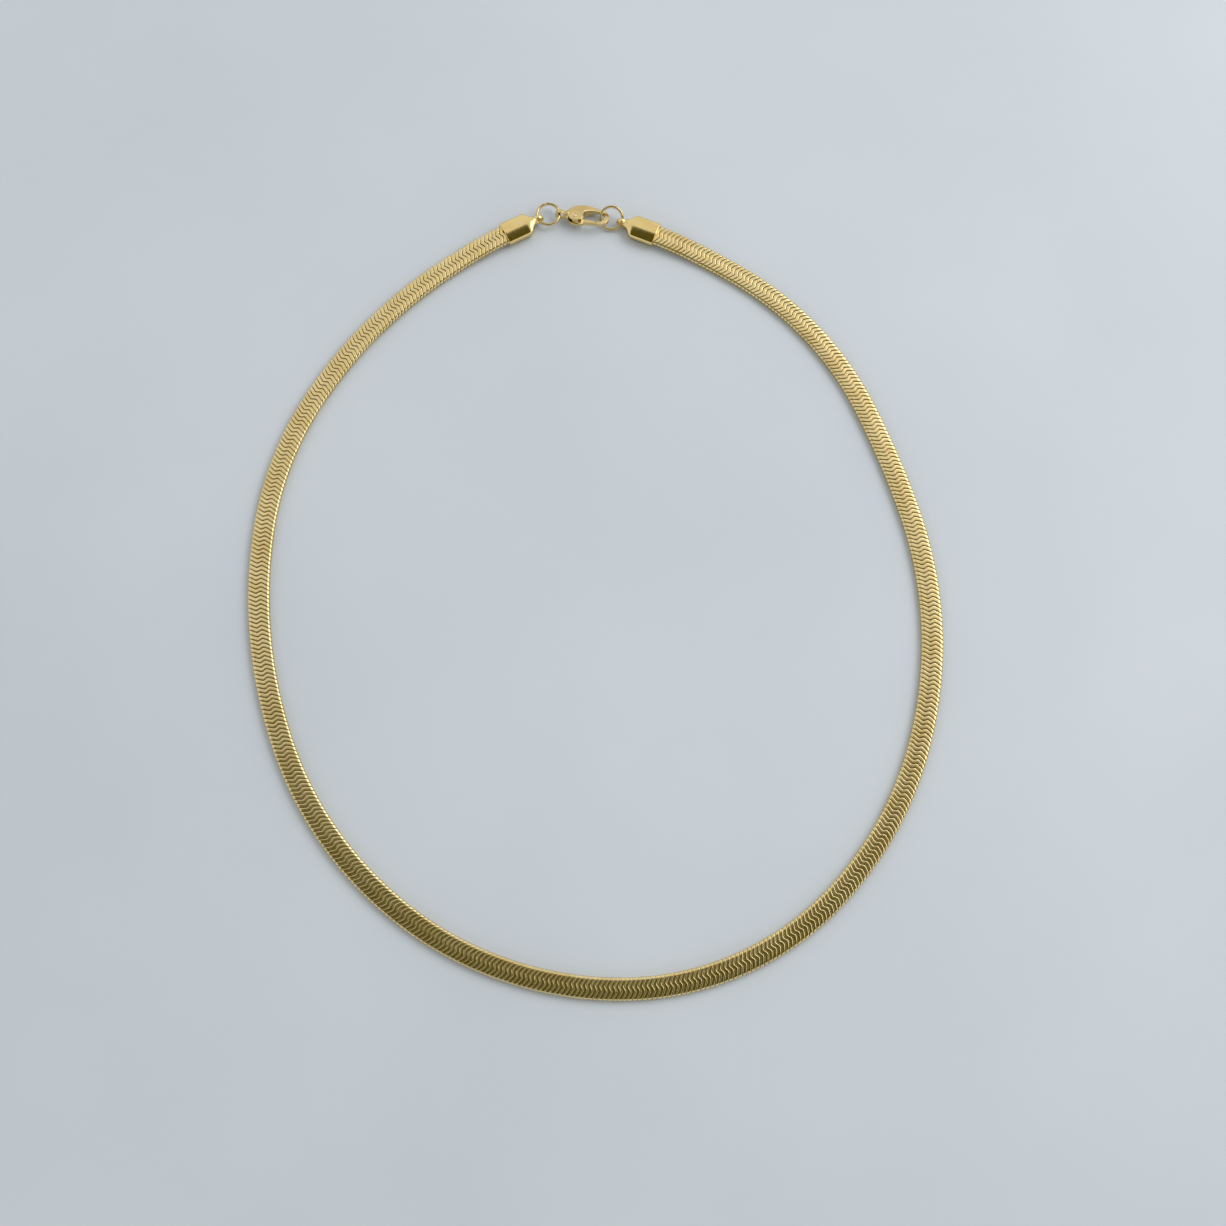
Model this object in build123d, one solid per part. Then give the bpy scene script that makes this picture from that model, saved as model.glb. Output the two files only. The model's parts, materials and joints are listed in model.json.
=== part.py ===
"""Chain necklace: a 4 mm flat snake chain, closed by a lobster clasp.

The necklace lies flat in a loop, in millimetres, +Z up, with the chain's underside on z = 0.
The origin is below the middle of the loop, and the clasp is at the back, towards +Y.
Links are joined in pairs, each pair one solid.  Pairs that move together share one node.
"""
from build123d import *
from math import cos, degrees, radians, sin
import os

# ---- chain -------------------------------------------------------------------
CHAIN_WIDTH = 4.0
CHAIN_THICKNESS = 1.3
LINK_PITCH = 0.827
LINK_GAP = 0.18                      # groove between neighbours, measured along the chain
PAIR = 2                             # links are modelled in pairs, joined inside the groove
LINK_LENGTH = LINK_PITCH - LINK_GAP
LINK_EDGE = 0.42                     # the flat faces turn down this far from each side
LINK_SIDE = 0.45                     # height of the upright strip on each side
ZIGZAG_CORNER = 0.42                 # where the link's line turns, each side of its middle
ZIGZAG_INNER = 0.25                  # how far the line is off there, along the chain
ZIGZAG_SLOPE = 0.54                  # slant of the outer two limbs, the other way
TONGUE_HALF_WIDTH = 0.95
TONGUE_THICKNESS = 0.4
TONGUE_REACH = 0.43                  # from the link's front face into the next link's pocket
TONGUE_ROOT = 0.05
POCKET_HALF_WIDTH = 1.25
POCKET_HEIGHT = 0.8
POCKET_DEPTH = 0.42
BRIDGE_REACH = 0.62                  # of the tongue that joins a pair, into the pocket's end wall

# ---- the loop's centreline: tangent arcs (radius, turn in degrees) from its lowest point -----
LOWEST_POINT = (4.8, -74.5)
RIGHT_ARCS = ((53, 46), (66, 27), (78, 33), (165, 8), (62, 32), (97, 11.5))
LEFT_ARCS = ((63, 35.5), (68, 33), (91, 27), (64, 24.5), (88, 32.5))
CRIMP_LINKS = 3                      # links inside each end cap
RISE_LENGTH = 14.0                   # over which the chain climbs into its end cap

# ---- fold stations: the two arms bend together across lines parallel to X ---------------------
STATIONS = 18
FIRST_FOLD_Y = -64.0
LAST_FOLD_Y = 58.0

# ---- end caps ------------------------------------------------------------------
CAP_WIDTH = 4.6
CAP_HEIGHT = 2.5
CAP_SIDE = 1.5                       # height of the cap's upright side
CAP_BARREL = 4.5                     # full-width length, from the mouth
CAP_TAPER_END = 6.7
CAP_NECK = 1.5                       # width of the squared tip
CAP_LOOP_X = 7.35                    # centre of the loop's hole, from the mouth
CAP_POCKET_DEPTH = 3.8
CAP_FIT = 0.05                       # between the chain and the cap, before it is crimped
LOOP_WIDTH = 0.8                     # of the loop at the cap's tip, along its hole
LOOP_RADIUS = 1.08
LOOP_HOLE_RADIUS = 0.66

# ---- jump rings ------------------------------------------------------------------
RING_RADIUS = 2.18                   # to the middle of the wire
RING_WIRE = 0.56
RING_CLOSED_ANGLE = 357              # the rest of the turn is the cut where the ring was opened
LEFT_RING_TILT = 4                   # far side up, about a level line through the ring
LEFT_RING_LINE = 5                   # that line's direction, from +X
LEFT_RING_HEIGHT = 1.5               # of the ring's centre
RIGHT_RING_TILT = 28                 # steep enough to pass over and under the hook
RIGHT_RING_LINE = -8
RIGHT_RING_HEIGHT = 1.55
RING_CUTS = {"left": 100, "right": 240}  # where each ring's cut is

# ---- lobster clasp, in its own frame: +X from the eye to the nose, z = 0 in its middle plane ---
CLASP_ROLL = -15                     # lever side up
CLASP_SHIFT = 0.22                   # from the left ring's wire to the middle of the eye's hole
CLASP_HEIGHT = 1.5                   # of its middle plane over the floor
CLASP_BODY_THICKNESS = 1.9
HOOK_THICKNESS = 0.75
HOOK_START_X = 4.6
HOOK_FULL_X = 7.4
EYE_WIDTH = 0.75
EYE_RADIUS = 1.05
EYE_HOLE_RADIUS = 0.7
COLLAR_RADIUS = 0.92
COLLAR_X = 1.35
COLLAR_LENGTH = 0.45
STEM = (0.9, 0.8, 1.3)                # middle, length and depth of the stem behind the eye
PIVOT = (2.9, -0.75)
PIN_RADIUS = 0.36
PIN_CLEARANCE = 0.05
LEVER_THICKNESS = 0.8
SLOT_CLEARANCE = 0.07
LEVER_HUB_RADIUS = 0.62
LEVER_TIP_X = 6.98
SLOT_LEFT, SLOT_RIGHT, SLOT_TOP, SLOT_BOTTOM = 1.6, 5.0, 0.3, -2.5
SLOT_CENTRE = (3.0, -1.0)            # the slot's ends are round this point
SLOT_RADIUS = 1.95
SPRING_LINE = ((1.85, -0.3), (2.05, 0.1), (3.75, 0.16), (4.1, -0.05), (3.95, -0.45))
SPRING_THICKNESS = 0.14
SPRING_WIDTH = 0.6


# ---- the path ----------------------------------------------------------------------

def arm_length(arcs):
    return sum(radius * radians(turn) for radius, turn in arcs)


def point_on_arm(side, arcs, distance):
    """Where the centreline is at a distance from the lowest point, and its heading in degrees.

    side is 1 for the right arm and -1 for the left.  The heading points away from the lowest point.
    """
    x, y, heading = *LOWEST_POINT, 0.0
    for radius, turn in arcs:
        length = radius * radians(turn)
        used = min(distance, length)
        end = heading + degrees(used / radius)
        x += side * radius * (sin(radians(end)) - sin(radians(heading)))
        y += radius * (cos(radians(heading)) - cos(radians(end)))
        heading = end
        distance -= used
    # past the last arc the line is straight
    x += side * distance * cos(radians(heading))
    y += distance * sin(radians(heading))
    return x, y, heading if side > 0 else 180 - heading


ARMS = {"right": (1, RIGHT_ARCS), "left": (-1, LEFT_ARCS)}


def mouth_distance(arm):
    return arm_length(ARMS[arm][1])


def link_count(arm):
    return round(mouth_distance(arm) / LINK_PITCH) + CRIMP_LINKS


def rise_at(arm, distance):
    """Height of the chain's underside: flat on the floor, then a smooth climb into the cap."""
    climb = (CAP_HEIGHT - CHAIN_THICKNESS) / 2
    t = (distance - mouth_distance(arm) + RISE_LENGTH) / RISE_LENGTH
    t = min(max(t, 0), 1)
    return climb * t * t * (3 - 2 * t)


def link_plane(arm, index):
    """The frame of a link: x runs clockwise round the loop, y outwards."""
    side, arcs = ARMS[arm]
    distance = (index + 0.5) * LINK_PITCH
    x, y, heading = point_on_arm(side, arcs, distance)
    clockwise = heading + 180 if side > 0 else heading
    direction = (cos(radians(clockwise)), sin(radians(clockwise)), 0)
    return Plane(origin=(x, y, rise_at(arm, distance)), x_dir=direction, z_dir=(0, 0, 1))


def gap_y(arm, index):
    """The level of the gap before a link."""
    side, arcs = ARMS[arm]
    return point_on_arm(side, arcs, index * LINK_PITCH)[1]


def nearest_gap(arm, level):
    """The gap between two pairs of links that is nearest a level."""
    return min(range(PAIR, link_count(arm), PAIR), key=lambda k: abs(gap_y(arm, k) - level))


def fold_stations():
    """[(level of the hinge line, first link beyond it on the right, and on the left)]"""
    found = []
    for n in range(STATIONS):
        level = FIRST_FOLD_Y + (LAST_FOLD_Y - FIRST_FOLD_Y) * n / (STATIONS - 1)
        right = nearest_gap("right", level)
        left = nearest_gap("left", gap_y("right", right))
        found.append(((gap_y("right", right) + gap_y("left", left)) / 2, right, left))
    return found


# ---- one link ------------------------------------------------------------------------

def zigzag(y):
    """How far a link's line is ahead at y: two slanted limbs, joined by a short cross limb."""
    if abs(y) <= ZIGZAG_CORNER:
        return -y * ZIGZAG_INNER / ZIGZAG_CORNER
    sign = 1 if y > 0 else -1
    return sign * (ZIGZAG_SLOPE * (abs(y) - ZIGZAG_CORNER) - ZIGZAG_INNER)


def zigzag_band(rear, front, half_width):
    """A plan outline between two copies of the link's line."""
    across = (-half_width, -ZIGZAG_CORNER, ZIGZAG_CORNER, half_width)
    behind = [(zigzag(y) + rear, y) for y in across]
    ahead = [(zigzag(y) + front, y) for y in reversed(across)]
    return make_face(Polyline(*behind, *ahead, close=True))


def link_section():
    """The flattened tube's outer section, across the chain."""
    half, low, high = CHAIN_WIDTH / 2, (CHAIN_THICKNESS - LINK_SIDE) / 2, CHAIN_THICKNESS
    step = 0.28 * LINK_EDGE
    quarter = [
        (half - LINK_EDGE, 0),
        (half - step, 0.38 * low),
        (half, low),
    ]
    right = quarter + [(y, high - z) for y, z in reversed(quarter)]
    left = [(-y, z) for y, z in reversed(right)]
    return make_face(Polyline(*right, *left, close=True))


def make_link(tongue_reach):
    """One link: a short flattened tube, closed at the front, with a tongue for the next one."""
    rear, front = -LINK_LENGTH / 2, LINK_LENGTH / 2
    middle = CHAIN_THICKNESS / 2
    body = extrude(zigzag_band(rear, front, CHAIN_WIDTH / 2), CHAIN_THICKNESS)
    body &= extrude(Plane.YZ * link_section(), 2 * CHAIN_WIDTH, both=True)
    pocket = zigzag_band(rear - TONGUE_ROOT, rear + POCKET_DEPTH, POCKET_HALF_WIDTH)
    body -= Pos(0, 0, middle - POCKET_HEIGHT / 2) * extrude(pocket, POCKET_HEIGHT)
    tongue = zigzag_band(front - TONGUE_ROOT, front + tongue_reach, TONGUE_HALF_WIDTH)
    body += Pos(0, 0, middle - TONGUE_THICKNESS / 2) * extrude(tongue, TONGUE_THICKNESS)
    return body.solid()


def links(kinds, arm, first, last):
    """The links of an arm from first up to, but not including, last, joined in pairs."""
    free, bridging = kinds
    solids = []
    for n in range(first, last, PAIR):
        # x runs clockwise, so on the right arm a link's tongue points to the one before it
        rear, front = (n + 1, n) if ARMS[arm][0] > 0 else (n, n + 1)
        if n + 1 >= last:
            solids.append(link_plane(arm, n) * free)
        else:
            pair = link_plane(arm, rear) * bridging + link_plane(arm, front) * free
            solids.append(pair.solid())
    return solids


def chain_nodes():
    """{node: its links} for the front run and for every stretch between two folds."""
    link = make_link(TONGUE_REACH), make_link(BRIDGE_REACH)
    stations = fold_stations()
    nodes = {}
    start = {"right": stations[0][1], "left": stations[0][2]}
    middle = {arm: start[arm] // 6 * PAIR for arm in ARMS}
    nodes["chain_front_centre"] = links(link, "right", 0, middle["right"]) + links(
        link, "left", 0, middle["left"]
    )
    for arm in ARMS:
        nodes[f"chain_front_{arm}"] = links(link, arm, middle[arm], start[arm])
    for column, arm in ((1, "right"), (2, "left")):
        bounds = [station[column] for station in stations] + [link_count(arm)]
        for n in range(STATIONS):
            nodes[f"chain_{arm}_{n + 1:02d}"] = links(link, arm, bounds[n], bounds[n + 1])
    return nodes


# ---- end caps and rings ------------------------------------------------------------------

def cap_plane(arm):
    """The frame of an end cap: origin in its mouth on the floor, x towards its loop."""
    side, arcs = ARMS[arm]
    x, y, heading = point_on_arm(side, arcs, mouth_distance(arm))
    direction = (cos(radians(heading)), sin(radians(heading)), 0)
    return Plane(origin=(x, y, 0), x_dir=direction, z_dir=(0, 0, 1))


def make_end_cap():
    """A crowned sheath over the chain's end, tapered to a squared tip that carries a loop."""
    half, middle = CAP_WIDTH / 2, CAP_HEIGHT / 2
    low, high = middle - CAP_SIDE / 2, middle + CAP_SIDE / 2
    section = make_face(
        Line((-half, low), (-half, high))
        + ThreePointArc((-half, high), (0, CAP_HEIGHT), (half, high))
        + Line((half, high), (half, low))
        + ThreePointArc((half, low), (0, 0), (-half, low))
    )
    body = extrude(Plane.YZ * section, CAP_LOOP_X)
    neck = CAP_NECK / 2
    below = [(0, -half), (CAP_BARREL, -half), (CAP_TAPER_END, -neck), (CAP_LOOP_X, -neck)]
    plan = Polyline(*below, *[(x, -y) for x, y in reversed(below)], close=True)
    body &= extrude(make_face(plan), CAP_HEIGHT)
    across = Location((CAP_LOOP_X, 0, middle), (90, 0, 0))
    clearance = LOOP_RADIUS + CAP_FIT
    # both sides of the tip are cut back to the loop's width
    cheek = Box(2 * clearance, CAP_WIDTH, CAP_HEIGHT)
    for sign in (-1, 1):
        body -= Pos(CAP_LOOP_X, sign * (LOOP_WIDTH + CAP_WIDTH) / 2, middle) * cheek
    body += across * Cylinder(LOOP_RADIUS, LOOP_WIDTH)
    body -= across * Cylinder(LOOP_HOLE_RADIUS, CAP_WIDTH)
    pocket = Box(
        CAP_POCKET_DEPTH, CHAIN_WIDTH + 2 * CAP_FIT, CHAIN_THICKNESS + 2 * CAP_FIT,
        align=(Align.MIN, Align.CENTER, Align.CENTER),
    )
    body -= Pos(0, 0, middle) * pocket
    return body.solid()


def cap_loop_centre(arm):
    plane = cap_plane(arm)
    return plane.from_local_coords(Vector(CAP_LOOP_X, 0, CAP_HEIGHT / 2))


def ring_centre(arm):
    """A ring lies along its cap's own line, one ring radius beyond the loop's hole."""
    height = LEFT_RING_HEIGHT if arm == "left" else RIGHT_RING_HEIGHT
    return cap_plane(arm).from_local_coords(Vector(CAP_LOOP_X + RING_RADIUS, 0, height))


def make_ring(arm, cut):
    """A round wire ring, with its cut at an angle from the line that it tilts about."""
    line, tilt = LEFT_RING_LINE, LEFT_RING_TILT
    if arm == "right":
        line, tilt = RIGHT_RING_LINE, RIGHT_RING_TILT
    ring = Torus(RING_RADIUS, RING_WIRE / 2, major_angle=RING_CLOSED_ANGLE)
    return Pos(*ring_centre(arm)) * Rot(0, 0, line) * Rot(tilt, 0, 0) * Rot(0, 0, cut) * ring


# ---- lobster clasp -----------------------------------------------------------------------

def clasp_eye_centre():
    """The eye's hole is round the left ring's wire, at the ring's far end from its cap."""
    centre = ring_centre("left")
    return Vector(centre.X + RING_RADIUS + CLASP_SHIFT, centre.Y, CLASP_HEIGHT)


def clasp_location():
    """From the eye towards the slack side of the right ring, rolled so that the lever is up."""
    eye = clasp_eye_centre()
    target = ring_centre("right") - Vector(RING_RADIUS, 0, 0)
    direction = Vector(target.X - eye.X, target.Y - eye.Y, 0).normalized()
    plane = Plane(origin=eye, x_dir=direction, z_dir=(0, 0, 1))
    return Location(plane) * Location((0, 0, 0), (CLASP_ROLL, 0, 0))


def hook_outline():
    """The plan of the clasp's body and hook, up to the tip that meets the lever."""
    outer = (
        ThreePointArc((1.45, 0.7), (2.35, 1.55), (3.9, 2.0))
        + ThreePointArc((3.9, 2.0), (6.2, 2.12), (8.2, 1.68))
        + ThreePointArc((8.2, 1.68), (9.58, 0.05), (8.55, -1.6))
        + ThreePointArc((8.55, -1.6), (8.0, -1.88), (7.2, -1.95))
    )
    inner = (
        Line((7.2, -1.95), (7.2, -1.2))
        + ThreePointArc((7.2, -1.2), (8.3, -0.85), (8.62, 0.0))
        + ThreePointArc((8.62, 0.0), (8.35, 0.85), (7.3, 1.2))
        + ThreePointArc((7.3, 1.2), (5.9, 1.15), (4.75, 0.6))
        + ThreePointArc((4.75, 0.6), (4.5, -0.1), (4.65, -0.8))
    )
    cheek = (
        Line((4.65, -0.8), (4.3, -1.45))
        + ThreePointArc((4.3, -1.45), (2.9, -1.75), (1.45, -0.7))
        + Line((1.45, -0.7), (1.45, 0.7))
    )
    return make_face(outer + inner + cheek)


def lever_outline():
    """The plan of the lever: a hub on the pin, a thumb lug, and the gate."""
    gate = make_face(
        Polyline(
            (2.55, -1.2), (3.55, -1.75), (3.9, -2.3), (4.35, -2.3), (4.75, -1.92),
            (LEVER_TIP_X, -1.9), (LEVER_TIP_X, -1.2), (4.7, -1.1), (3.35, -0.35),
            close=True,
        )
    )
    hub = Pos(*PIVOT) * Circle(LEVER_HUB_RADIUS)
    return gate + hub


def body_section():
    """The clasp seen from the side: full thickness at the body, thin at the hook."""
    thick, thin = CLASP_BODY_THICKNESS / 2, HOOK_THICKNESS / 2
    top = [(1.0, 0.72), (2.4, thick), (HOOK_START_X, thick), (HOOK_FULL_X, thin), (10.0, thin)]
    return make_face(Polyline(*top, *[(x, -z) for x, z in reversed(top)], close=True))


def make_clasp_body():
    body = extrude(hook_outline(), CLASP_BODY_THICKNESS / 2, both=True)
    body &= extrude(Plane.XZ * body_section(), CHAIN_WIDTH, both=True)
    across = Location((0, 0, 0), (90, 0, 0))
    along = Location((0, 0, 0), (0, 90, 0))
    body += Pos(COLLAR_X, 0, 0) * along * Cylinder(COLLAR_RADIUS, COLLAR_LENGTH)
    body += across * Cylinder(EYE_RADIUS, EYE_WIDTH)
    body += Pos(STEM[0], 0, 0) * Box(STEM[1], EYE_WIDTH, STEM[2])
    body -= across * Cylinder(EYE_HOLE_RADIUS, 3 * EYE_WIDTH)
    # the lever's slot is open below and towards the gate
    slot_height = LEVER_THICKNESS + 2 * SLOT_CLEARANCE
    slot = Pos((SLOT_LEFT + SLOT_RIGHT) / 2, (SLOT_BOTTOM + SLOT_TOP) / 2, 0) * Box(
        SLOT_RIGHT - SLOT_LEFT, SLOT_TOP - SLOT_BOTTOM, slot_height
    )
    slot &= Pos(*SLOT_CENTRE, 0) * Cylinder(SLOT_RADIUS, slot_height)
    body -= slot
    body -= Pos(*PIVOT, 0) * Cylinder(PIN_RADIUS, 2 * CLASP_BODY_THICKNESS)
    return body.solid()


def make_clasp_lever():
    lever = extrude(lever_outline(), LEVER_THICKNESS / 2, both=True)
    lever -= Pos(*PIVOT, 0) * Cylinder(PIN_RADIUS + PIN_CLEARANCE, CLASP_BODY_THICKNESS)
    return lever.solid()


def make_pivot_pin():
    return Pos(*PIVOT, 0) * Cylinder(PIN_RADIUS, CLASP_BODY_THICKNESS)


def make_clasp_spring():
    """A bent leaf between the closed end of the slot and the lever's back."""
    line = Polyline(*SPRING_LINE)
    leaf = trace(line, SPRING_THICKNESS)
    return extrude(leaf, SPRING_WIDTH / 2, both=True).solid()


# ---- everything ------------------------------------------------------------------------------

def build_nodes():
    """{node name: its solids}, in place."""
    nodes = chain_nodes()
    cap = make_end_cap()
    for arm in ARMS:
        nodes[f"end_cap_{arm}"] = [cap_plane(arm) * cap]
        nodes[f"jump_ring_{arm}"] = [make_ring(arm, cut=RING_CUTS[arm])]
    place = clasp_location()
    nodes["clasp_body"] = [place * make_clasp_body()]
    nodes["clasp_lever"] = [place * make_clasp_lever()]
    nodes["clasp_pivot_pin"] = [place * make_pivot_pin()]
    nodes["clasp_spring"] = [place * make_clasp_spring()]
    return nodes


def main():
    os.makedirs("parts", exist_ok=True)
    for name, solids in build_nodes().items():
        shape = solids[0] if len(solids) == 1 else Compound(children=solids)
        export_step(shape, f"parts/{name}.step")


if __name__ == "__main__":
    main()
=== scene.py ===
"""Looks of the chain necklace: detailed links, end caps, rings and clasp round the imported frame."""

import json
from math import cos, pi, radians, sin

import bmesh
import bpy
import numpy as np
from mathutils import Matrix, Vector


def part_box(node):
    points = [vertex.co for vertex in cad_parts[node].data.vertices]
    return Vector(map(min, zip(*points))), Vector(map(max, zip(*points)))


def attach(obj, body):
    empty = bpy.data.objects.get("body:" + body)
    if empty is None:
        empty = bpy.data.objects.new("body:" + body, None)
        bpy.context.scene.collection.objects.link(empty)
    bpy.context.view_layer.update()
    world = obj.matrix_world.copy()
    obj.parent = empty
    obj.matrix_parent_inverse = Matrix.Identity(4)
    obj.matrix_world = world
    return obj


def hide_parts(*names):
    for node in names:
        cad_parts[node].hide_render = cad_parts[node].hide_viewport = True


MM = 0.001

# ---- link, in millimetres, in its own frame: x along the chain, y across it ----
LINK_LENGTH = 0.71
LINK_HALF_WIDTH = 2.0
LINK_HALF_HEIGHT = 0.65
LINK_CROWN = 0.035                    # thicker along the middle by this much
EDGE_ROUND = (0.42, 0.425)            # across, and in height
ZIGZAG_CORNER = 0.42                  # where the link's line turns, each side of its middle
ZIGZAG_INNER = 0.25
ZIGZAG_SLOPE = 0.54
ZIGZAG_SOFTNESS = 0.2                 # over which each turn is rounded
TOP_POINTS = 15
# the link's ends: (place along its half length, how far the surface has sunk there)
END_ROUNDING = (
    (-1, 0.075), (-0.94, 0.03), (-0.84, 0.01), (-0.72, 0.003), (-0.55, 0.001),
    (0.55, 0.001), (0.72, 0.003), (0.84, 0.01), (0.94, 0.03), (1, 0.075),
)
TONGUE = (1.5, 0.15)                  # half width and half height
TONGUE_REACH = 0.4
TONGUE_ROOT = 0.02                    # behind the link's front face
TONGUE_ROUND = 0.1
POCKET_MOUTH = 0.01                   # inside the link's rear face
POCKET_ROUND = (0.12, 0.15)
GROOVE_PAINTED_SHADE, LIP_PAINTED_SHADE = 1.0, 0.55   # painted shade: how far the colour is darkened in the grooves, and on their lips
SIDE_REACH = 1.6                      # a link's side strips are further than this from its middle
POCKET = (1.72, 0.42)
POCKET_DEPTH = 0.42

# ---- end cap, from its mouth to its loop ----
CAP_HALF_WIDTH = 2.3
CAP_HALF_HEIGHT = 1.25
CAP_NECK_HALF_WIDTH = 0.75
CAP_TAPER_START = 4.5
CAP_TAPER_END = 6.6
CAP_LOOP_X = 7.35
CAP_POCKET = (2.06, 0.71)
CAP_POCKET_DEPTH = 3.6
CAP_LIP = 0.16
CAP_SHOULDER = 0.62                   # height of its upright sides, of its half height
CAP_CROWN = 1.3                       # 1 is two flat slopes, 2 is a round crown
CAP_CORNER = 0.14                     # of the half width
CAP_CORNER_DROP = 0.35                # how far the rounding lowers the corner, of its width
CAP_TAPER_BOW = 0.12                  # how far the taper's sides bow
CAP_TAPER_THINNING = 0.12             # how much flatter the cap is at its tip
CAP_MOUTH_SHOULDER, CAP_POCKET_SHOULDER = 0.9, 0.98
CAP_MOUTH_DEPTH = 0.12                # over which the mouth's edge is rounded
CAP_TIP = ((6.64, 0.03), (6.66, 0.1), (6.66, 0.3))     # (x, inset) round the tip's edge
LOOP_RADIUS = 0.87
LOOP_WIRE = (0.21, 0.4)               # radial and axial half sizes

# ---- rings ----
RING_RADIUS = 2.18
RING_WIRE_RADIUS = 0.28
RING_CUTS = {"left": 100, "right": 240}
RING_CUT_ANGLE = 2.4
RING_STEPS = 96
RING_SIDES = 24

# ---- clasp ----
CLASP_VOXEL = 0.055
CLASP_SMOOTHING = 9
PIN_RADIUS = 0.36
PIN_HALF_LENGTH = 0.95
PIN_DOME = 0.1
PIN_DOME_START = 0.02                 # below the pin's end
PIN_SET_DOWN = 0.06                   # how far below its end the full shank starts
PIN_DOME_STEPS, PIN_SIDES = 6, 32

# ---- camera and light ----
CAMERA_TILT = 15.5
CAMERA_DISTANCE = 0.319
CAMERA_TARGET = (0.0035, -0.0066, 0.0)
CAMERA_LENS = 50.83
SENSOR = 36.0
ROOM_STRENGTH = 0.85
PATCH_WAY = (-0.02, -0.33, 0.944)     # the middle of the dark patch that the metal mirrors
PATCH_EDGE = (33.5, 30.0)             # where it starts and where it is full, in degrees from there
PATCH_COLOUR = (0.1, 0.1, 0.02, 1)
LAMP_PLACE = (0.5, 0.3, 0.55)
LAMP_SIZE = (0.7, 0.5)
LAMP_POWER = 2.6
FLOOR_HALF_WIDTH = 1.5


# ================================================================ mesh helpers

def new_object(name, vertices, faces, smooth=True):
    mesh = bpy.data.meshes.new(name)
    mesh.from_pydata([tuple(v) for v in vertices], [], faces)
    mesh.validate()
    mesh.polygons.foreach_set("use_smooth", [smooth] * len(mesh.polygons))
    mesh.update()
    obj = bpy.data.objects.new(name, mesh)
    bpy.context.scene.collection.objects.link(obj)
    return obj


def outward(obj):
    """Turns every face of a closed mesh outwards."""
    bm = bmesh.new()
    bm.from_mesh(obj.data)
    bmesh.ops.recalc_face_normals(bm, faces=bm.faces)
    bm.to_mesh(obj.data)
    bm.free()
    obj.data.update()


def loft(rings, start=0, closed=True):
    """Quads between rings of the same number of points."""
    count = len(rings[0])
    last = count if closed else count - 1
    return [
        (
            start + r * count + i,
            start + r * count + (i + 1) % count,
            start + (r + 1) * count + (i + 1) % count,
            start + (r + 1) * count + i,
        )
        for r in range(len(rings) - 1)
        for i in range(last)
    ]


def rounded_section(half_width, half_height, round_y, round_z, top_points, corner_points=2):
    """Points round a rounded rectangle: along the top, down the right, back below, and up the left."""
    flat = half_width - round_y
    top = [(y, half_height) for y in np.linspace(-flat, flat, top_points)]
    corner = []
    for n in range(1, corner_points + 1):
        angle = pi / 2 * n / (corner_points + 1)
        corner.append((flat + round_y * sin(angle), half_height - round_z * (1 - cos(angle))))
    side = [(half_width, half_height - round_z)]
    right = corner + side
    down = right + [(y, -z) for y, z in reversed(right)]
    bottom = [(y, -z) for y, z in reversed(top)]
    up = [(-y, -z) for y, z in down]
    return top + down + bottom + up


# ================================================================ links

def zigzag(y):
    """How far the link's line is ahead at y, with its turns rounded."""
    def sharp(v):
        if abs(v) <= ZIGZAG_CORNER:
            return -v * ZIGZAG_INNER / ZIGZAG_CORNER
        sign = 1 if v > 0 else -1
        return sign * (ZIGZAG_SLOPE * (abs(v) - ZIGZAG_CORNER) - ZIGZAG_INNER)
    return sum(sharp(y + ZIGZAG_SOFTNESS * s) for s in (-1, -0.5, 0, 0.5, 1)) / 5


def crown(y):
    """The link's height at y, of its height in the middle."""
    flat = LINK_HALF_WIDTH - EDGE_ROUND[0]
    return 1 - LINK_CROWN / LINK_HALF_HEIGHT * min(abs(y) / flat, 1)


def link_rings():
    """The link as a stack of rings, from the tip of its tongue to the bottom of its pocket."""
    half = LINK_LENGTH / 2

    def ring(x, half_width, half_height, round_y, round_z):
        section = rounded_section(half_width, half_height, round_y, round_z, TOP_POINTS)
        return [(x + zigzag(y), y, z * crown(y) + LINK_HALF_HEIGHT) for y, z in section]

    rings = [
        ring(half + TONGUE_REACH, *TONGUE, TONGUE_ROUND, TONGUE_ROUND),
        ring(half - TONGUE_ROOT, *TONGUE, TONGUE_ROUND, TONGUE_ROUND),
    ]
    for place, inset in reversed(END_ROUNDING):
        rings.append(ring(
            place * half, LINK_HALF_WIDTH - inset, LINK_HALF_HEIGHT - inset,
            EDGE_ROUND[0] - inset / 2, EDGE_ROUND[1] - inset / 2,
        ))
    rings.append(ring(-half + POCKET_MOUTH, *POCKET, *POCKET_ROUND))
    rings.append(ring(-half + POCKET_DEPTH, *POCKET, *POCKET_ROUND))
    return rings


def link_mesh():
    rings = link_rings()
    count = len(rings[0])
    vertices = np.array([p for ring in rings for p in ring])
    faces = loft(rings)
    faces += strip_fill(0, count)
    faces += strip_fill((len(rings) - 1) * count, count)
    # painted shade for each ring of points: full on the tongue and in the pocket, where links meet, less on the
    # link's end edges, none elsewhere
    painted_shade = []
    for r, ring in enumerate(rings):
        from_end = min(r, len(rings) - 1 - r)
        shade = GROOVE_PAINTED_SHADE if from_end < 2 else LIP_PAINTED_SHADE if from_end == 2 else 0.0
        painted_shade += [shade] * len(ring)
    return vertices, faces, np.array(painted_shade)


def strip_fill(first, count):
    """Quads across a closed ring, from one side to the other."""
    half = count // 2
    quarter = (half - TOP_POINTS) // 2
    upper = [(n - quarter) % count for n in range(half)]
    lower = [(half + quarter + TOP_POINTS - 1 - n) % count for n in range(half)]
    return [
        (first + upper[n], first + upper[n + 1], first + lower[n + 1], first + lower[n])
        for n in range(half - 1)
    ]


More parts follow.
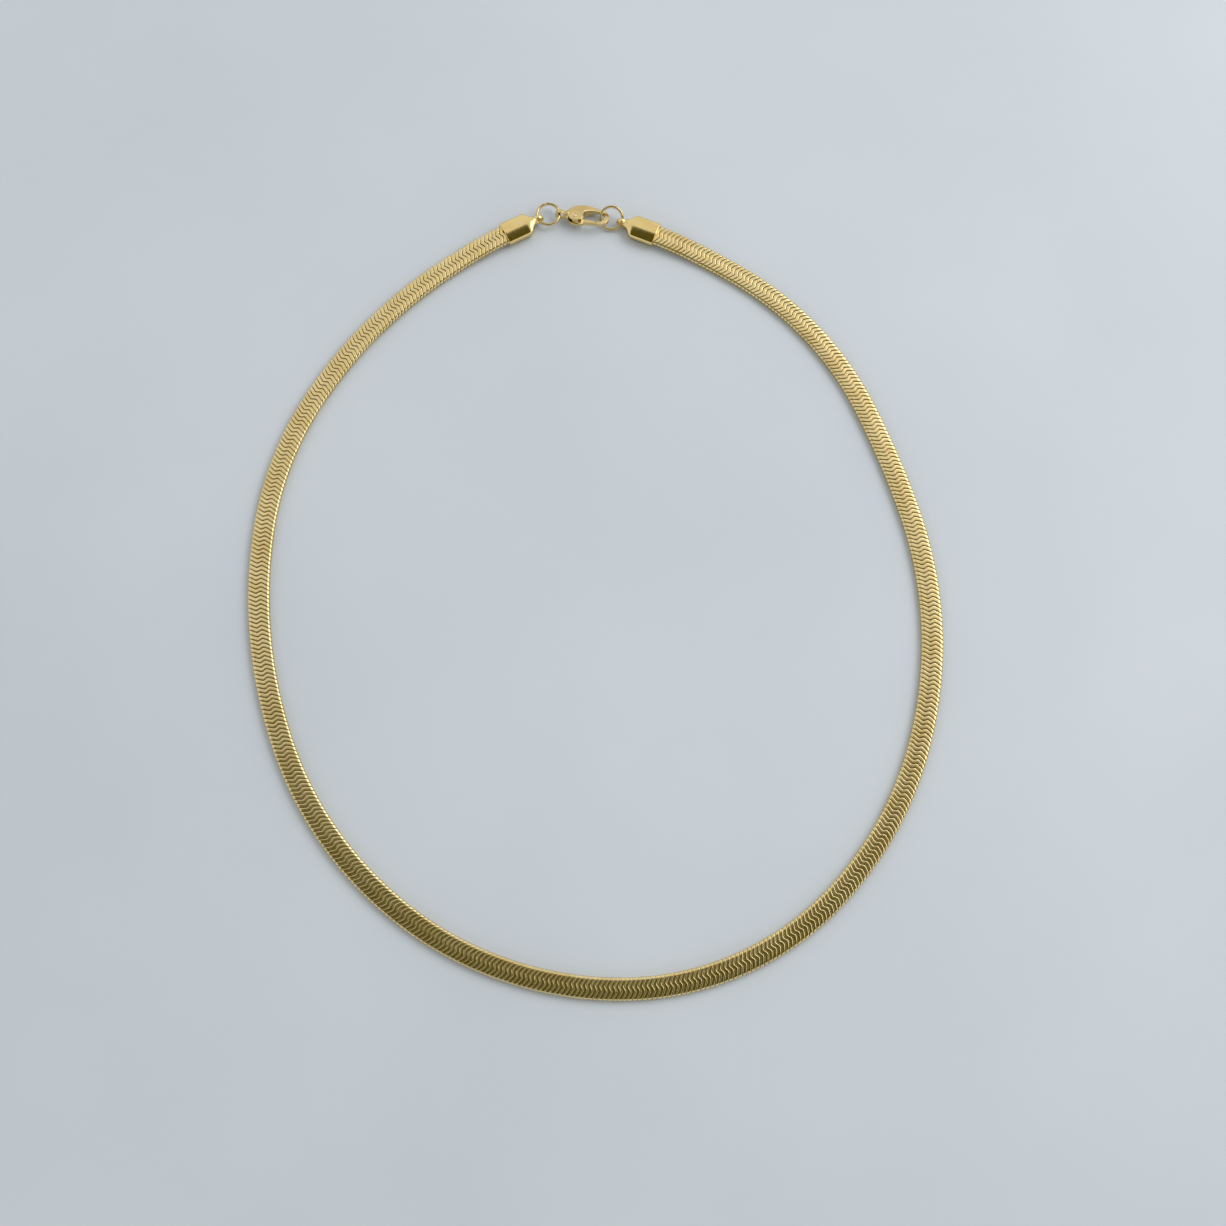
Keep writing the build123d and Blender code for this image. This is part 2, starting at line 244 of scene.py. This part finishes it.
def islands(faces):
    """Faces in groups that share edges or corners."""
    at_vertex = {}
    for face in faces:
        for vertex in face.verts:
            at_vertex.setdefault(vertex.index, []).append(face)
    seen, found = set(), []
    for seed in faces:
        if seed.index in seen:
            continue
        group, stack = [], [seed]
        seen.add(seed.index)
        while stack:
            face = stack.pop()
            group.append(face)
            for vertex in face.verts:
                for other in at_vertex[vertex.index]:
                    if other.index not in seen:
                        seen.add(other.index)
                        stack.append(other)
        found.append(group)
    return found


def strip_centre(strip):
    corners = {v.index: v.co.copy() for f in strip for v in f.verts}
    return sum(corners.values(), Vector()) / len(corners)


def link_places(cad):
    """Where each link of a CAD chain node is: (origin, along, across), in metres.

    A link's two upright side strips face straight across the chain, and its origin is midway between them.
    The CAD joins links in pairs, so a solid has two strips on each side, in order along the chain.
    """
    bm = bmesh.new()
    bm.from_mesh(cad.data)
    bmesh.ops.remove_doubles(bm, verts=bm.verts, dist=1e-6)
    bm.faces.ensure_lookup_table()
    places = []
    for island in islands(list(bm.faces)):
        corners = {v.index: v.co.copy() for f in island for v in f.verts}
        middle = sum(corners.values(), Vector()) / len(corners)
        low = min(p.z for p in corners.values())
        outward_way = middle.xy.to_3d().normalized()
        upright = [
            f for f in island
            if abs(f.normal.z) < 0.01 and f.normal.dot(f.calc_center_median() - middle) > SIDE_REACH * MM
        ]
        sides = []
        for sign in (1, -1):
            strips = islands([f for f in upright if sign * f.normal.dot(outward_way) > 0])
            along = strips[0][0].normal.cross(Vector((0, 0, sign)))
            sides.append(sorted(strips, key=lambda strip: strip_centre(strip).dot(along)))
        for outer, inner in zip(*sides, strict=True):
            across = outer[0].normal.copy()
            across.z = 0
            across.normalize()
            origin = (strip_centre(outer) + strip_centre(inner)) / 2
            origin.z = low
            places.append((origin, across.cross(Vector((0, 0, 1))), across))
    bm.free()
    return places


def build_links(cad, mesh):
    """One detailed mesh for all the links of a CAD node."""
    shape, faces, painted_shade = mesh
    vertices, polygons, painted_shades = [], [], []
    for n, (origin, along, across) in enumerate(link_places(cad)):
        turned = (
            np.outer(shape[:, 0], along) + np.outer(shape[:, 1], across) + np.outer(shape[:, 2], (0, 0, 1))
        )
        vertices.append(turned * MM + np.array(origin))
        polygons += [tuple(i + n * len(shape) for i in face) for face in faces]
        painted_shades.append(painted_shade)
    obj = new_object(cad.name + "_links", np.concatenate(vertices), polygons)
    # the painted shade, stored on the points for the chain material
    recess_painted_shade = obj.data.attributes.new("recess_painted_shade", "FLOAT", "POINT")
    recess_painted_shade.data.foreach_set("value", np.concatenate(painted_shades))
    return obj


# ================================================================ end caps

def cap_station(x):
    """Half width, half height and corner sizes of the cap at x."""
    if x <= CAP_TAPER_START:
        return CAP_HALF_WIDTH, CAP_HALF_HEIGHT
    t = min((x - CAP_TAPER_START) / (CAP_TAPER_END - CAP_TAPER_START), 1)
    ease = t - CAP_TAPER_BOW * sin(2 * pi * t)
    width = CAP_HALF_WIDTH + (CAP_NECK_HALF_WIDTH - CAP_HALF_WIDTH) * ease
    height = CAP_HALF_HEIGHT * (1 - CAP_TAPER_THINNING * t * t)
    return width, height


def cap_section(half_width, half_height, shoulder, steps=12):
    """Upright sides up to the shoulder, and above them two bowed slopes that meet along the middle."""
    corner = CAP_CORNER * half_width
    slope = []
    for n in range(steps + 1):
        y = half_width * (1 - n / steps)
        z = half_height - (half_height - shoulder) * (y / half_width) ** CAP_CROWN
        # the corner over the upright side is rounded off
        near = max(0.0, 1 - (half_width - y) / corner)
        slope.append((y, z - CAP_CORNER_DROP * corner * near * near))
    upper = slope + [(-y, z) for y, z in reversed(slope[:-1])]
    return upper + [(-y, -z) for y, z in upper]


def cap_rings():
    rings = []

    def ring(x, half_width, half_height, shoulder=CAP_SHOULDER):
        rings.append([(x, y, z) for y, z in cap_section(half_width, half_height, shoulder * half_height)])

    ring(CAP_POCKET_DEPTH, *CAP_POCKET, CAP_POCKET_SHOULDER)
    ring(CAP_MOUTH_DEPTH, *CAP_POCKET, CAP_POCKET_SHOULDER)
    ring(0.0, CAP_POCKET[0] + 0.05, CAP_POCKET[1] + 0.08, CAP_MOUTH_SHOULDER)
    ring(0.0, CAP_HALF_WIDTH - 0.06, CAP_HALF_HEIGHT - 0.1)
    ring(0.05, CAP_HALF_WIDTH - 0.01, CAP_HALF_HEIGHT - 0.02)
    ring(CAP_MOUTH_DEPTH, CAP_HALF_WIDTH, CAP_HALF_HEIGHT)
    ring(CAP_LIP + CAP_MOUTH_DEPTH, CAP_HALF_WIDTH, CAP_HALF_HEIGHT)
    for x in np.linspace(0.6, CAP_TAPER_START, 8):
        ring(x, CAP_HALF_WIDTH, CAP_HALF_HEIGHT)
    for x in np.linspace(CAP_TAPER_START + 0.12, CAP_TAPER_END, 16):
        ring(x, *cap_station(x))
    width, height = cap_station(CAP_TAPER_END)
    for x, inset in CAP_TIP:
        ring(x, width - inset, height - inset)
    return rings


def end_cap(name, loop_centre, along):
    """The sheath and its loop as one mesh, at the CAD cap's place."""
    rings = cap_rings()
    count = len(rings[0])
    vertices = [p for ring in rings for p in ring]
    faces = loft(rings)
    for index, x in ((0, CAP_POCKET_DEPTH), (len(rings) - 1, CAP_TIP[-1][0])):
        vertices.append((x, 0, 0))
        centre = len(vertices) - 1
        faces += [(index * count + i, index * count + (i + 1) % count, centre) for i in range(count)]
    start = len(vertices)
    turns, sides = 48, 16
    loop = []
    for n in range(turns):
        angle = 2 * pi * n / turns
        for k in range(sides):
            turn = 2 * pi * k / sides
            c, s = cos(turn), sin(turn)
            radius = LOOP_RADIUS + LOOP_WIRE[0] * (1 if c >= 0 else -1) * abs(c) ** 0.8
            across = LOOP_WIRE[1] * (1 if s >= 0 else -1) * abs(s) ** 0.6
            loop.append((CAP_LOOP_X + radius * cos(angle), across, radius * sin(angle)))
    vertices += loop
    for n in range(turns):
        for k in range(sides):
            faces.append((
                start + n * sides + k, start + n * sides + (k + 1) % sides,
                start + (n + 1) % turns * sides + (k + 1) % sides, start + (n + 1) % turns * sides + k,
            ))
    across = Vector((0, 0, 1)).cross(along)
    placed = [
        loop_centre + (along * (float(x) - CAP_LOOP_X) + across * float(y) + Vector((0, 0, float(z)))) * MM
        for x, y, z in vertices
    ]
    obj = new_object(name, placed, faces)
    outward(obj)
    return obj


# ================================================================ rings

def ring_place(cad):
    """Centre of the ring, its level line and the direction across it, from the CAD mesh."""
    points = np.array([v.co for v in cad.data.vertices])
    low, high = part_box(cad.name)
    centre = (np.array(low) + np.array(high)) / 2
    _, _, axes = np.linalg.svd(points - points.mean(axis=0), full_matrices=False)
    normal = Vector(axes[2])
    if normal.z < 0:
        normal.negate()
    level = Vector((0, 0, 1)).cross(normal)
    if level.length < 1e-6:
        level = Vector((1, 0, 0))
    level.normalize()
    if level.x < 0:
        level.negate()
    return Vector(centre), level, normal.cross(level)


def jump_ring(name, cad, cut):
    """Round wire bent into a ring, with its two sheared ends facing each other."""
    centre, level, far = ring_place(cad)
    normal = level.cross(far)
    rings = []
    gap = RING_CUT_ANGLE / 2
    for n in range(RING_STEPS + 1):
        t = n / RING_STEPS
        angle = radians(cut + gap + (360 - 2 * gap) * t)
        out = level * cos(angle) + far * sin(angle)
        ends = min(t, 1 - t) * RING_STEPS
        wire = RING_WIRE_RADIUS * (0.9 if ends < 0.5 else 1)
        ring = []
        for k in range(RING_SIDES):
            turn = 2 * pi * k / RING_SIDES
            offset = out * (RING_RADIUS + wire * cos(turn)) + normal * wire * sin(turn)
            ring.append(centre + offset * MM)
        rings.append(ring)
    vertices = [p for ring in rings for p in ring]
    faces = loft(rings)
    faces.append(tuple(range(RING_SIDES)))
    faces.append(tuple(RING_STEPS * RING_SIDES + k for k in range(RING_SIDES)))
    obj = new_object(name, vertices, faces)
    outward(obj)
    return obj


# ================================================================ clasp

def cast_copy(cad, name, voxel, smoothing):
    """The CAD solid with every edge softened, as a polished casting has."""
    bm = bmesh.new()
    bm.from_mesh(cad.data)
    bmesh.ops.remove_doubles(bm, verts=bm.verts, dist=1e-6)
    mesh = bpy.data.meshes.new(name + "_start")
    bm.to_mesh(mesh)
    bm.free()
    # the remesh works in millimetres, because its voxels are small
    mesh.transform(Matrix.Scale(1 / MM, 4))
    work = bpy.data.objects.new(name + "_start", mesh)
    bpy.context.scene.collection.objects.link(work)
    remesh = work.modifiers.new("remesh", "REMESH")
    remesh.mode = "VOXEL"
    remesh.voxel_size = voxel
    soften = work.modifiers.new("soften", "SMOOTH")
    soften.factor = 0.5
    soften.iterations = smoothing
    bpy.context.view_layer.update()
    depsgraph = bpy.context.evaluated_depsgraph_get()
    result = bpy.data.meshes.new_from_object(work.evaluated_get(depsgraph))
    bpy.data.objects.remove(work)
    bpy.data.meshes.remove(mesh)
    result.transform(Matrix.Scale(MM, 4))
    result.name = name
    result.polygons.foreach_set("use_smooth", [True] * len(result.polygons))
    obj = bpy.data.objects.new(name, result)
    bpy.context.scene.collection.objects.link(obj)
    return obj


def pivot_pin(name, centre, axis):
    """A turned pin with domed, set-down heads."""
    side = axis.orthogonal().normalized()
    other = axis.cross(side)
    profile = [(0.0, PIN_HALF_LENGTH + PIN_DOME)]
    for n in range(1, PIN_DOME_STEPS + 1):
        angle = pi / 2 * n / PIN_DOME_STEPS
        height = PIN_HALF_LENGTH - PIN_DOME_START + PIN_DOME * cos(angle)
        profile.append((PIN_RADIUS * sin(angle), height))
    profile.append((PIN_RADIUS, PIN_HALF_LENGTH - PIN_SET_DOWN))
    profile += [(r, -h) for r, h in reversed(profile)]
    rings = []
    for radius, height in profile[1:-1]:
        ring = []
        for k in range(PIN_SIDES):
            turn = 2 * pi * k / PIN_SIDES
            out = side * cos(turn) + other * sin(turn)
            ring.append(centre + (out * radius + axis * height) * MM)
        rings.append(ring)
    vertices = [p for ring in rings for p in ring]
    faces = loft(rings)
    for index, height in ((0, profile[0][1]), (len(rings) - 1, profile[-1][1])):
        vertices.append(centre + axis * height * MM)
        tip = len(vertices) - 1
        first = index * PIN_SIDES
        faces += [(first + k, first + (k + 1) % PIN_SIDES, tip) for k in range(PIN_SIDES)]
    obj = new_object(name, vertices, faces)
    outward(obj)
    return obj


# ================================================================ materials

def plated(name, light, deep, roughness, grain, bump, recess_painted_shade=False):
    """Gold-tone plating: slow colour drift, fine polishing haze, tiny scratches, and if asked, painted shade that
    darkens the colour in the grooves between links.
    """
    material = bpy.data.materials.new(name)
    material.use_nodes = True
    nodes, links = material.node_tree.nodes, material.node_tree.links
    shader = nodes["Principled BSDF"]
    shader.inputs["Metallic"].default_value = 1.0
    where = nodes.new("ShaderNodeTexCoord")

    def noise(scale, detail, stretch=None):
        source = where.outputs["Object"]
        if stretch:
            mapping = nodes.new("ShaderNodeMapping")
            mapping.inputs["Scale"].default_value = stretch
            links.new(source, mapping.inputs["Vector"])
            source = mapping.outputs["Vector"]
        texture = nodes.new("ShaderNodeTexNoise")
        texture.inputs["Scale"].default_value = scale
        texture.inputs["Detail"].default_value = detail
        links.new(source, texture.inputs["Vector"])
        return texture.outputs["Fac"]

    drift = nodes.new("ShaderNodeValToRGB")
    drift.color_ramp.elements[0].position = 0.32
    drift.color_ramp.elements[0].color = (*deep, 1)
    drift.color_ramp.elements[1].position = 0.62
    drift.color_ramp.elements[1].color = (*light, 1)
    links.new(noise(grain, 3), drift.inputs["Fac"])
    colour = drift.outputs["Color"]
    # painted shade: the colour is mixed towards a dark brown where links meet, by the stored mask
    if recess_painted_shade:
        painted_shade = nodes.new("ShaderNodeAttribute")
        painted_shade.attribute_name = "recess_painted_shade"
        shade = nodes.new("ShaderNodeMix")
        shade.data_type = "RGBA"
        # the dark brown of the painted shade between links
        shade.inputs["B"].default_value = (0.24, 0.16, 0.05, 1)
        links.new(painted_shade.outputs["Fac"], shade.inputs["Factor"])
        links.new(colour, shade.inputs["A"])
        colour = shade.outputs["Result"]
    links.new(colour, shader.inputs["Base Color"])

    haze = nodes.new("ShaderNodeMapRange")
    haze.inputs["To Min"].default_value = roughness - 0.05
    haze.inputs["To Max"].default_value = roughness + 0.08
    links.new(noise(grain * 6, 4), haze.inputs["Value"])
    links.new(haze.outputs["Result"], shader.inputs["Roughness"])

    scratches = nodes.new("ShaderNodeBump")
    scratches.inputs["Strength"].default_value = bump
    scratches.inputs["Distance"].default_value = 0.00002
    links.new(noise(grain * 9, 5, (1, 6, 1)), scratches.inputs["Height"])
    links.new(scratches.outputs["Normal"], shader.inputs["Normal"])
    return material


def floor_material():
    material = bpy.data.materials.new("pale_floor")
    material.use_nodes = True
    nodes, links = material.node_tree.nodes, material.node_tree.links
    shader = nodes["Principled BSDF"]
    shader.inputs["Roughness"].default_value = 0.55
    where = nodes.new("ShaderNodeTexCoord")
    cloud = nodes.new("ShaderNodeTexNoise")
    cloud.inputs["Scale"].default_value = 14
    cloud.inputs["Detail"].default_value = 6
    ramp = nodes.new("ShaderNodeValToRGB")
    ramp.color_ramp.elements[0].position = 0.3
    ramp.color_ramp.elements[0].color = (0.60, 0.655, 0.725, 1)
    ramp.color_ramp.elements[1].position = 0.7
    ramp.color_ramp.elements[1].color = (0.65, 0.705, 0.77, 1)
    links.new(where.outputs["Object"], cloud.inputs["Vector"])
    links.new(cloud.outputs["Fac"], ramp.inputs["Fac"])
    links.new(ramp.outputs["Color"], shader.inputs["Base Color"])
    return material


def dress(obj, material):
    obj.data.materials.clear()
    obj.data.materials.append(material)


# ================================================================ light and camera

def build_world():
    """A bright room with a darker patch overhead and towards the viewer, which polished metal mirrors."""
    world = bpy.data.worlds.new("studio")
    bpy.context.scene.world = world
    world.use_nodes = True
    nodes, links = world.node_tree.nodes, world.node_tree.links
    background = nodes["Background"]
    where = nodes.new("ShaderNodeTexCoord")
    patch = nodes.new("ShaderNodeVectorMath")
    patch.operation = "DOT_PRODUCT"
    patch.inputs[1].default_value = PATCH_WAY
    edge = nodes.new("ShaderNodeMapRange")
    edge.interpolation_type = "SMOOTHSTEP"
    edge.inputs["From Min"].default_value = cos(radians(PATCH_EDGE[0]))
    edge.inputs["From Max"].default_value = cos(radians(PATCH_EDGE[1]))
    mix = nodes.new("ShaderNodeMix")
    mix.data_type = "RGBA"
    mix.inputs["A"].default_value = (1.0, 1.0, 1.0, 1)
    mix.inputs["B"].default_value = PATCH_COLOUR
    links.new(where.outputs["Generated"], patch.inputs[0])
    links.new(patch.outputs["Value"], edge.inputs["Value"])
    links.new(edge.outputs["Result"], mix.inputs["Factor"])
    links.new(mix.outputs["Result"], background.inputs["Color"])
    background.inputs["Strength"].default_value = ROOM_STRENGTH


def build_stage():
    mesh = bpy.data.meshes.new("floor")
    half = FLOOR_HALF_WIDTH
    corners = [(-half, -half, 0), (half, -half, 0), (half, half, 0), (-half, half, 0)]
    mesh.from_pydata(corners, [], [(0, 1, 2, 3)])
    floor = bpy.data.objects.new("floor", mesh)
    bpy.context.scene.collection.objects.link(floor)
    dress(floor, floor_material())


def build_lights():
    data = bpy.data.lights.new("softbox", "AREA")
    data.shape = "RECTANGLE"
    data.size, data.size_y = LAMP_SIZE
    data.energy = LAMP_POWER
    data.color = (1.0, 0.98, 0.95)
    lamp = bpy.data.objects.new("softbox", data)
    bpy.context.scene.collection.objects.link(lamp)
    lamp.location = LAMP_PLACE
    lamp.rotation_euler = (-Vector(lamp.location)).to_track_quat("-Z", "Y").to_euler()


def build_camera():
    data = bpy.data.cameras.new("camera")
    data.lens = CAMERA_LENS
    data.sensor_width = SENSOR
    data.clip_start, data.clip_end = 0.01, 10
    camera = bpy.data.objects.new("camera", data)
    bpy.context.scene.collection.objects.link(camera)
    tilt = radians(CAMERA_TILT)
    back = Vector((0, -sin(tilt), cos(tilt))) * CAMERA_DISTANCE
    camera.location = Vector(CAMERA_TARGET) + back
    camera.rotation_euler = (tilt, 0, 0)
    bpy.context.scene.camera = camera


# ================================================================ the scene

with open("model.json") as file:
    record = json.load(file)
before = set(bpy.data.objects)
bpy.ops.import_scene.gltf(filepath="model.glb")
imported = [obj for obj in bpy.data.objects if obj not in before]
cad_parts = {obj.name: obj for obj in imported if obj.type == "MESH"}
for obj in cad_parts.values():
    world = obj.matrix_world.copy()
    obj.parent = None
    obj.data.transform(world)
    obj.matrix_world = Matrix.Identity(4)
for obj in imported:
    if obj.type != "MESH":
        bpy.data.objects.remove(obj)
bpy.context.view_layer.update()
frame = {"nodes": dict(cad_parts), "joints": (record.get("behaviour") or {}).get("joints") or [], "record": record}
record = frame["record"]
nodes = frame["nodes"]
joints = {joint["name"]: joint for joint in frame["joints"]}
body_of_node = {node: body for body, members in record["behaviour"]["bodies"].items() for node in members}

GOLD_LIGHT, GOLD_DEEP = (0.8, 0.64, 0.31), (0.73, 0.56, 0.24)
chain_gold = plated("chain_gold", GOLD_LIGHT, GOLD_DEEP, 0.15, 220, 0.2, recess_painted_shade=True)
cap_gold = plated("cap_gold", (0.84, 0.65, 0.29), (0.78, 0.58, 0.23), 0.1, 300, 0.12)
ring_gold = plated("ring_gold", (0.66, 0.51, 0.25), (0.58, 0.44, 0.19), 0.1, 380, 0.15)
clasp_gold = plated("clasp_gold", (0.74, 0.57, 0.27), (0.64, 0.48, 0.2), 0.1, 340, 0.2)
pin_gold = plated("pin_gold", (0.8, 0.62, 0.3), (0.72, 0.53, 0.23), 0.18, 420, 0.3)
spring_steel = plated("spring_steel", (0.62, 0.62, 0.61), (0.48, 0.48, 0.47), 0.22, 420, 0.3)

link = link_mesh()
for node in sorted(nodes):
    if node.startswith("chain_"):
        piece = build_links(nodes[node], link)
        outward(piece)
        dress(piece, chain_gold)
        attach(piece, body_of_node[node])
        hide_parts(node)

for arm in ("left", "right"):
    hinge = joints[f"{arm}_ring_swing"]
    loop_centre = Vector(hinge["pos_m"])
    along = Vector((0, 0, 1)).cross(Vector(hinge["axis"]))
    cap = end_cap(f"end_cap_{arm}_sheath", loop_centre, along)
    dress(cap, cap_gold)
    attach(cap, body_of_node[f"end_cap_{arm}"])
    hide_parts(f"end_cap_{arm}")
    ring = jump_ring(f"jump_ring_{arm}_wire", nodes[f"jump_ring_{arm}"], RING_CUTS[arm])
    dress(ring, ring_gold)
    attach(ring, body_of_node[f"jump_ring_{arm}"])
    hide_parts(f"jump_ring_{arm}")

for node, name in (("clasp_body", "clasp_body_casting"), ("clasp_lever", "clasp_lever_casting")):
    casting = cast_copy(nodes[node], name, CLASP_VOXEL, CLASP_SMOOTHING)
    dress(casting, clasp_gold)
    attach(casting, body_of_node[node])
    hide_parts(node)

press = joints["lever_press"]
pin = pivot_pin("clasp_pin_turned", Vector(press["pos_m"]), Vector(press["axis"]).normalized())
dress(pin, pin_gold)
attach(pin, body_of_node["clasp_pivot_pin"])
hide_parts("clasp_pivot_pin")
dress(nodes["clasp_spring"], spring_steel)

build_world()
build_stage()
build_lights()
build_camera()
bpy.context.scene.view_settings.view_transform = "Standard"
